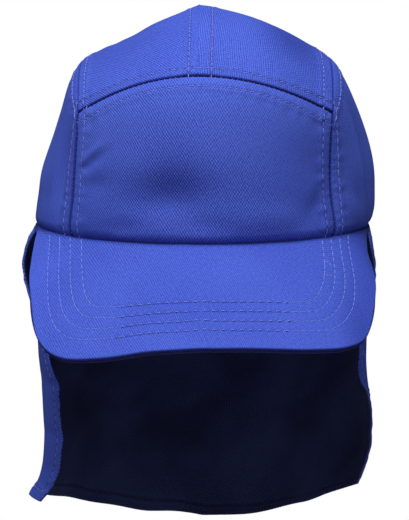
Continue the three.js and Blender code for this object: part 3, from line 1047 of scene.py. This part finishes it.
# About how long the peak is round and from front to back, and its grid lines near its ends, root and edge
PEAK_ROUND = 300
PEAK_LONG = 60
END_LINES = [0, 0.5, 1.2, 2.2]
ROOT_LINES = [0, 0.3, 0.7, 1.2, 1.8]
FREE_LINES = [0, 0.15, 0.35, 0.6, 0.9, 1.3]


def peak_cover(up, root_lift, round_step, long_step, relief):
    """A cover of the peak, moved along its normal, and lifted at its root to meet the crown's edge."""

    def surface(across, ahead):
        away = up * (1 - np.exp(-ahead * ROOT_SPREAD))
        point = peak_upwards(across, ahead)
        point = point + normals_of(peak_upwards, across, ahead) * away[..., None]
        point[..., 2] += root_lift * np.exp(-ahead * ROOT_FADE)
        return point

    us = grid_lines(PEAK_ROUND, round_step, END_LINES, END_LINES)
    vs = grid_lines(PEAK_LONG, long_step, ROOT_LINES, FREE_LINES)
    return Cloth(surface, us, vs, COVER_WALL, relief, 0.0)


peak_top = peak_cover(COVER_WALL / 2, PEAK_SET_DOWN, 1.25, 0.8, peak_relief)


def peak_uv(cloth, grain):
    """The cover's plan, stretched back along its slope."""
    return turned(cloth.mid[..., 0], cloth.mid[..., 1] / math.cos(math.radians(PEAK_PITCH_ANGLE)), grain)


cloth_piece("peak_top_cover", peak_top, peak_uv(peak_top, 20), [PEAK_ROYAL], "peak")


def under_relief(cloth):
    # Painted shade along the under cover's free edge, under the peak's rim
    shade = 0.8 * bell(cloth.from_top, 0.5)
    return -0.25 * bell(cloth.from_top, 0.8), shade


peak_low = peak_cover(-COVER_WALL / 2 - 0.1, 0.0, 2.2, 1.6, under_relief)
cloth_piece("peak_under_cover", peak_low, peak_uv(peak_low, 38), [UNDER])


def on_cloth(cloth, path, outer=True):
    """A path moved onto the finished face of a piece of cloth."""
    flat = cloth.mid.reshape(-1, 3)
    grid = (cloth.outer if outer else cloth.inner).reshape(-1, 3)
    facing = cloth.normal.reshape(-1, 3)
    moved, lie = [], []
    for point in path:
        d = np.linalg.norm(flat - point, axis=1)
        near = np.argpartition(d, 4)[:4]
        weight = 1 / (d[near] + 0.05)
        weight /= weight.sum()
        normal = unit(weight @ facing[near])
        level = weight @ ((grid[near] - point) @ normal)
        moved.append(point + normal * level)
        lie.append(normal if outer else -normal)
    return np.array(moved), np.array(lie)


def spaced(path, step):
    """A path with points at an even spacing."""
    along = run_along(path)
    at = np.linspace(0, along[-1], max(2, round(along[-1] / step)))
    return places(at, along, path)


# Along the front the rows lie in the shade of their channels: their thread is the darker joining thread, as
# painted shade, and only the thread at the needle holes, half a pitch on, is pale. The rows' points lie a
# step apart, and half a pitch is counted in them.
ROW_STEP = 1.1
SIDE_THREAD = 0.18
FRONT_THREAD = 0.17
HOLE_THREAD = 0.26
HOLE_STITCH = 1.4
HALF_PITCH = round(PEAK_PITCH / 2 / ROW_STEP)

side_rows, front_rows = [], []
for path in peak_paths:
    path, lie = on_cloth(peak_top, spaced(path, ROW_STEP))
    ahead = np.abs(path[:, 0]) < FRONT_ROW_REACH
    first, last = np.flatnonzero(ahead)[[0, -1]]
    side_rows += [(path[: first + 1], lie[: first + 1]), (path[last:], lie[last:])]
    front_rows.append((path[first : last + 1], lie[first : last + 1]))
sew("peak_side_stitching", side_rows, PEAK_PITCH, PEAK_STITCH, SIDE_THREAD)
# The front rows' darker thread is painted shade
sew("peak_front_stitching", front_rows, PEAK_PITCH, PEAK_STITCH, FRONT_THREAD, thread=JOINING_AND_SHADED_THREAD)

# On the wearer's left the thread's end shows as a small hook beside the innermost row, and a thread ties
# that row to the next. The hook's points lie along the row and towards the next one.
HOOK_FROM_ROOT = 15
TIE_FROM_ROOT = 25
HOOK_POINTS = ((-1, 0), (0.8, 0.6), (1.2, 1.8), (0.6, 3.0), (-0.8, 3.5))
HOOK_PITCH = 1.8
HOOK_STITCH = 1.6


def row_spot(k, from_root):
    """A place on a peak row, counted back from its end on the wearer's left, and the row's way there."""
    path = peak_paths[k]
    along = run_along(path)
    at = along[-1] - from_root
    spot, ahead = places(at, along, path), places(at + 2, along, path)
    return spot, unit(ahead - spot)


hook_start, hook_way = row_spot(PEAK_ROWS - 1, HOOK_FROM_ROOT)
tie_start, _ = row_spot(PEAK_ROWS - 1, TIE_FROM_ROOT)
tie_end, _ = row_spot(PEAK_ROWS - 2, TIE_FROM_ROOT + 2)
outwards = unit(tie_end - tie_start)
hook = np.array([hook_start + hook_way * a + outwards * b for a, b in HOOK_POINTS])
tie = np.linspace(tie_start, tie_end, 7)
hook_rows = [on_cloth(peak_top, hook), on_cloth(peak_top, tie)]
sew("peak_row_hook_and_tie", hook_rows, HOOK_PITCH, HOOK_STITCH)
hole_rows = [(path[HALF_PITCH:] + lie[HALF_PITCH:] * 0.2, lie[HALF_PITCH:]) for path, lie in front_rows]
sew("peak_needle_holes", hole_rows, PEAK_PITCH, HOLE_STITCH, HOLE_THREAD, dip=0.2)
low_rows = [on_cloth(peak_low, spaced(path, 2.0), outer=False) for path in peak_paths]
sew("peak_under_stitching", low_rows, PEAK_PITCH, PEAK_STITCH)


# The flap: soft cloth with a doubled hem that its stitching draws into small waves
HEM_ROW = HEM_WIDTH - 1.6
WIDEST_RUN = 380


def flap_shape(across, down):
    """The flap with the small waves of its front edges and its hem."""
    point = flap_surface(across, down)
    s = down * FLAP_LENGTH
    right = 0.6 * wavy(s, 5, ((19, 1.0), (31, 1.0), (12, 0.6))) * np.exp(-across * 16)
    left = wavy(s, 9, ((23, 1.0), (37, 1.0), (14, 0.5))) * np.exp(-(1 - across) * 16)
    fade = smoothstep(down, 0.28, 0.45)
    point[..., 0] += fade * (0.9 * right - 0.4 * left - 0.9 * bell(across - 0.07, 0.05))
    point[..., 1] += fade * (0.9 * right + 0.5 * left)
    point[..., 2] += 0.4 * wavy(across * WIDEST_RUN, 15, ((46, 1.0), (71, 1.0))) * np.exp(-(1 - down) * 12)
    return point


def flap_relief(cloth):
    hem = np.minimum.reduce([cloth.from_start, cloth.from_end, cloth.from_top])
    below = cloth.from_top < np.minimum(cloth.from_start, cloth.from_end)
    s = np.where(below, cloth.from_start, cloth.from_bottom)
    doubled = 0.35 * (1 - smoothstep(hem, HEM_WIDTH - 0.6, HEM_WIDTH + 1.4))
    channel = bell(hem - HEM_ROW, 0.8)
    pucker = 0.4 * wavy(s, 33, ((8.3, 1.0), (12.7, 0.9), (5.9, 0.5))) * bell(hem - 5, 4.5)
    head = 0.45 * wavy(cloth.from_start, 35) * np.exp(-cloth.from_bottom / 9)
    # Painted shade in the hem's stitch channel, and along the top where the flap meets the crown
    shade = np.maximum(0.35 * channel, 0.7 * bell(cloth.from_bottom, 1.5))
    return (doubled - 0.45 * channel + pucker + head) * smoothstep(cloth.from_bottom, 0, 1.2), shade


# About how long the flap's run and fall are, and its grid lines near its hems and the rim
FLAP_RUN = 350
FLAP_FALL = 175
FLAP_STEP = 1.9
HEM_LINES = [0, 0.3, 0.8, 1.6, 2.6, 3.6, 4.6, 5.6, 6.4, 7.2, 8.2, 9.4, 11]
RIM_LINES = [0, 0.4, 1, 1.8, 2.8, 4]
flap_us = grid_lines(FLAP_RUN, FLAP_STEP, HEM_LINES, HEM_LINES)
flap_vs = grid_lines(FLAP_FALL, FLAP_STEP, RIM_LINES, HEM_LINES)
flap_cloth = Cloth(flap_shape, flap_us, flap_vs, FLAP_WALL, flap_relief, 0.6)
# The flap's inner face takes the twill in painted shade
flap = cloth_piece("neck_flap_cloth", flap_cloth, cloth_uv(flap_cloth, -35), [ROYAL, INSIDE_PAINTED_SHADE], "neck_flap")
hem_rows = [trimmed(flap_cloth.row(edge, HEM_ROW), 6.0) for edge in ("start", "end", "top")]
hem_stitches = sew("flap_hem_stitching", hem_rows)


# The setting: a pale floor well below the cap, soft boxes above and ahead, and the photograph's camera. The
# floor is a disc small enough for the cap to be seen from below.
FLOOR_Z = -0.6
FLOOR_RADIUS = 0.42
FLOOR_SIDES = 96
OVERHEAD_POWER = 29.5
FRONT_POWER = 15


# White paper: matt, so that it shows only the lights' soft fall
def pale_floor():
    ring = [2 * math.pi * k / FLOOR_SIDES for k in range(FLOOR_SIDES)]
    points = [(FLOOR_RADIUS * math.cos(turn), FLOOR_RADIUS * math.sin(turn), FLOOR_Z) for turn in ring]
    mesh = bpy.data.meshes.new("pale_floor")
    mesh.from_pydata(points, [], [tuple(range(FLOOR_SIDES))])
    material = bpy.data.materials.new("matt white paper")
    tree = empty_tree(material)
    shader = add_node(tree, "ShaderNodeBsdfPrincipled", Base_Color=linear("#F6F6F8"), Roughness=0.95)
    add_node(tree, "ShaderNodeOutputMaterial", Surface=shader)
    mesh.materials.append(material)
    placed("pale_floor", mesh)


pale_floor()


def soft_box(name, place, aim, size, power, colour="#FFFFFF"):
    light = bpy.data.lights.new(name, "AREA")
    light.color = linear(colour)[:3]
    light.shape = "RECTANGLE"
    light.size, light.size_y = size
    light.energy = power
    lamp = placed(name, light)
    lamp.location = place
    lamp.rotation_euler = (Vector(aim) - Vector(place)).to_track_quat("-Z", "Y").to_euler()


soft_box("overhead_box", (-0.14, -0.5, 1.7), (0, -0.05, 0), (0.9, 0.7), OVERHEAD_POWER, "#EEF8FF")
soft_box("front_box", (-0.15, -1.7, 1.5), (0, 0, 0), (1.0, 0.7), FRONT_POWER, "#FFEBD8")

# A white room to look at, whose light on the cap is dim and a little blue
ROOM_LIGHT = 0.14
scene.world = bpy.data.worlds.new("white_room")
room = empty_tree(scene.world)
seen = add_node(room, "ShaderNodeLightPath").outputs["Is Camera Ray"]
dim = add_node(room, "ShaderNodeBackground", Color=linear("#DCE5FF"), Strength=ROOM_LIGHT)
white = add_node(room, "ShaderNodeBackground", Color=(1, 1, 1, 1), Strength=1.0)
mixed = add_node(room, "ShaderNodeMixShader", i0=seen, i1=dim, i2=white)
add_node(room, "ShaderNodeOutputWorld", Surface=mixed)

# The camera's distance and aim in metres, and the photograph's focal length and height in its own pixels
CAMERA_DISTANCE = 1.5
CAMERA_AIM = (0.00107, -0.0044, -0.025)
CAMERA_ELEVATION = math.radians(10)
PHOTO_FOCAL = 2814
PHOTO_TALL = 520
SENSOR = 36
camera_data = bpy.data.cameras.new("camera")
camera_data.sensor_width = SENSOR
camera_data.lens = PHOTO_FOCAL / PHOTO_TALL * SENSOR
camera = placed("camera", camera_data)
camera.location = CAMERA_DISTANCE * Vector((0, -math.cos(CAMERA_ELEVATION), math.sin(CAMERA_ELEVATION)))
camera.rotation_euler = (Vector(CAMERA_AIM) - camera.location).to_track_quat("-Z", "Y").to_euler()
scene.camera = camera
scene.view_settings.view_transform = "Standard"
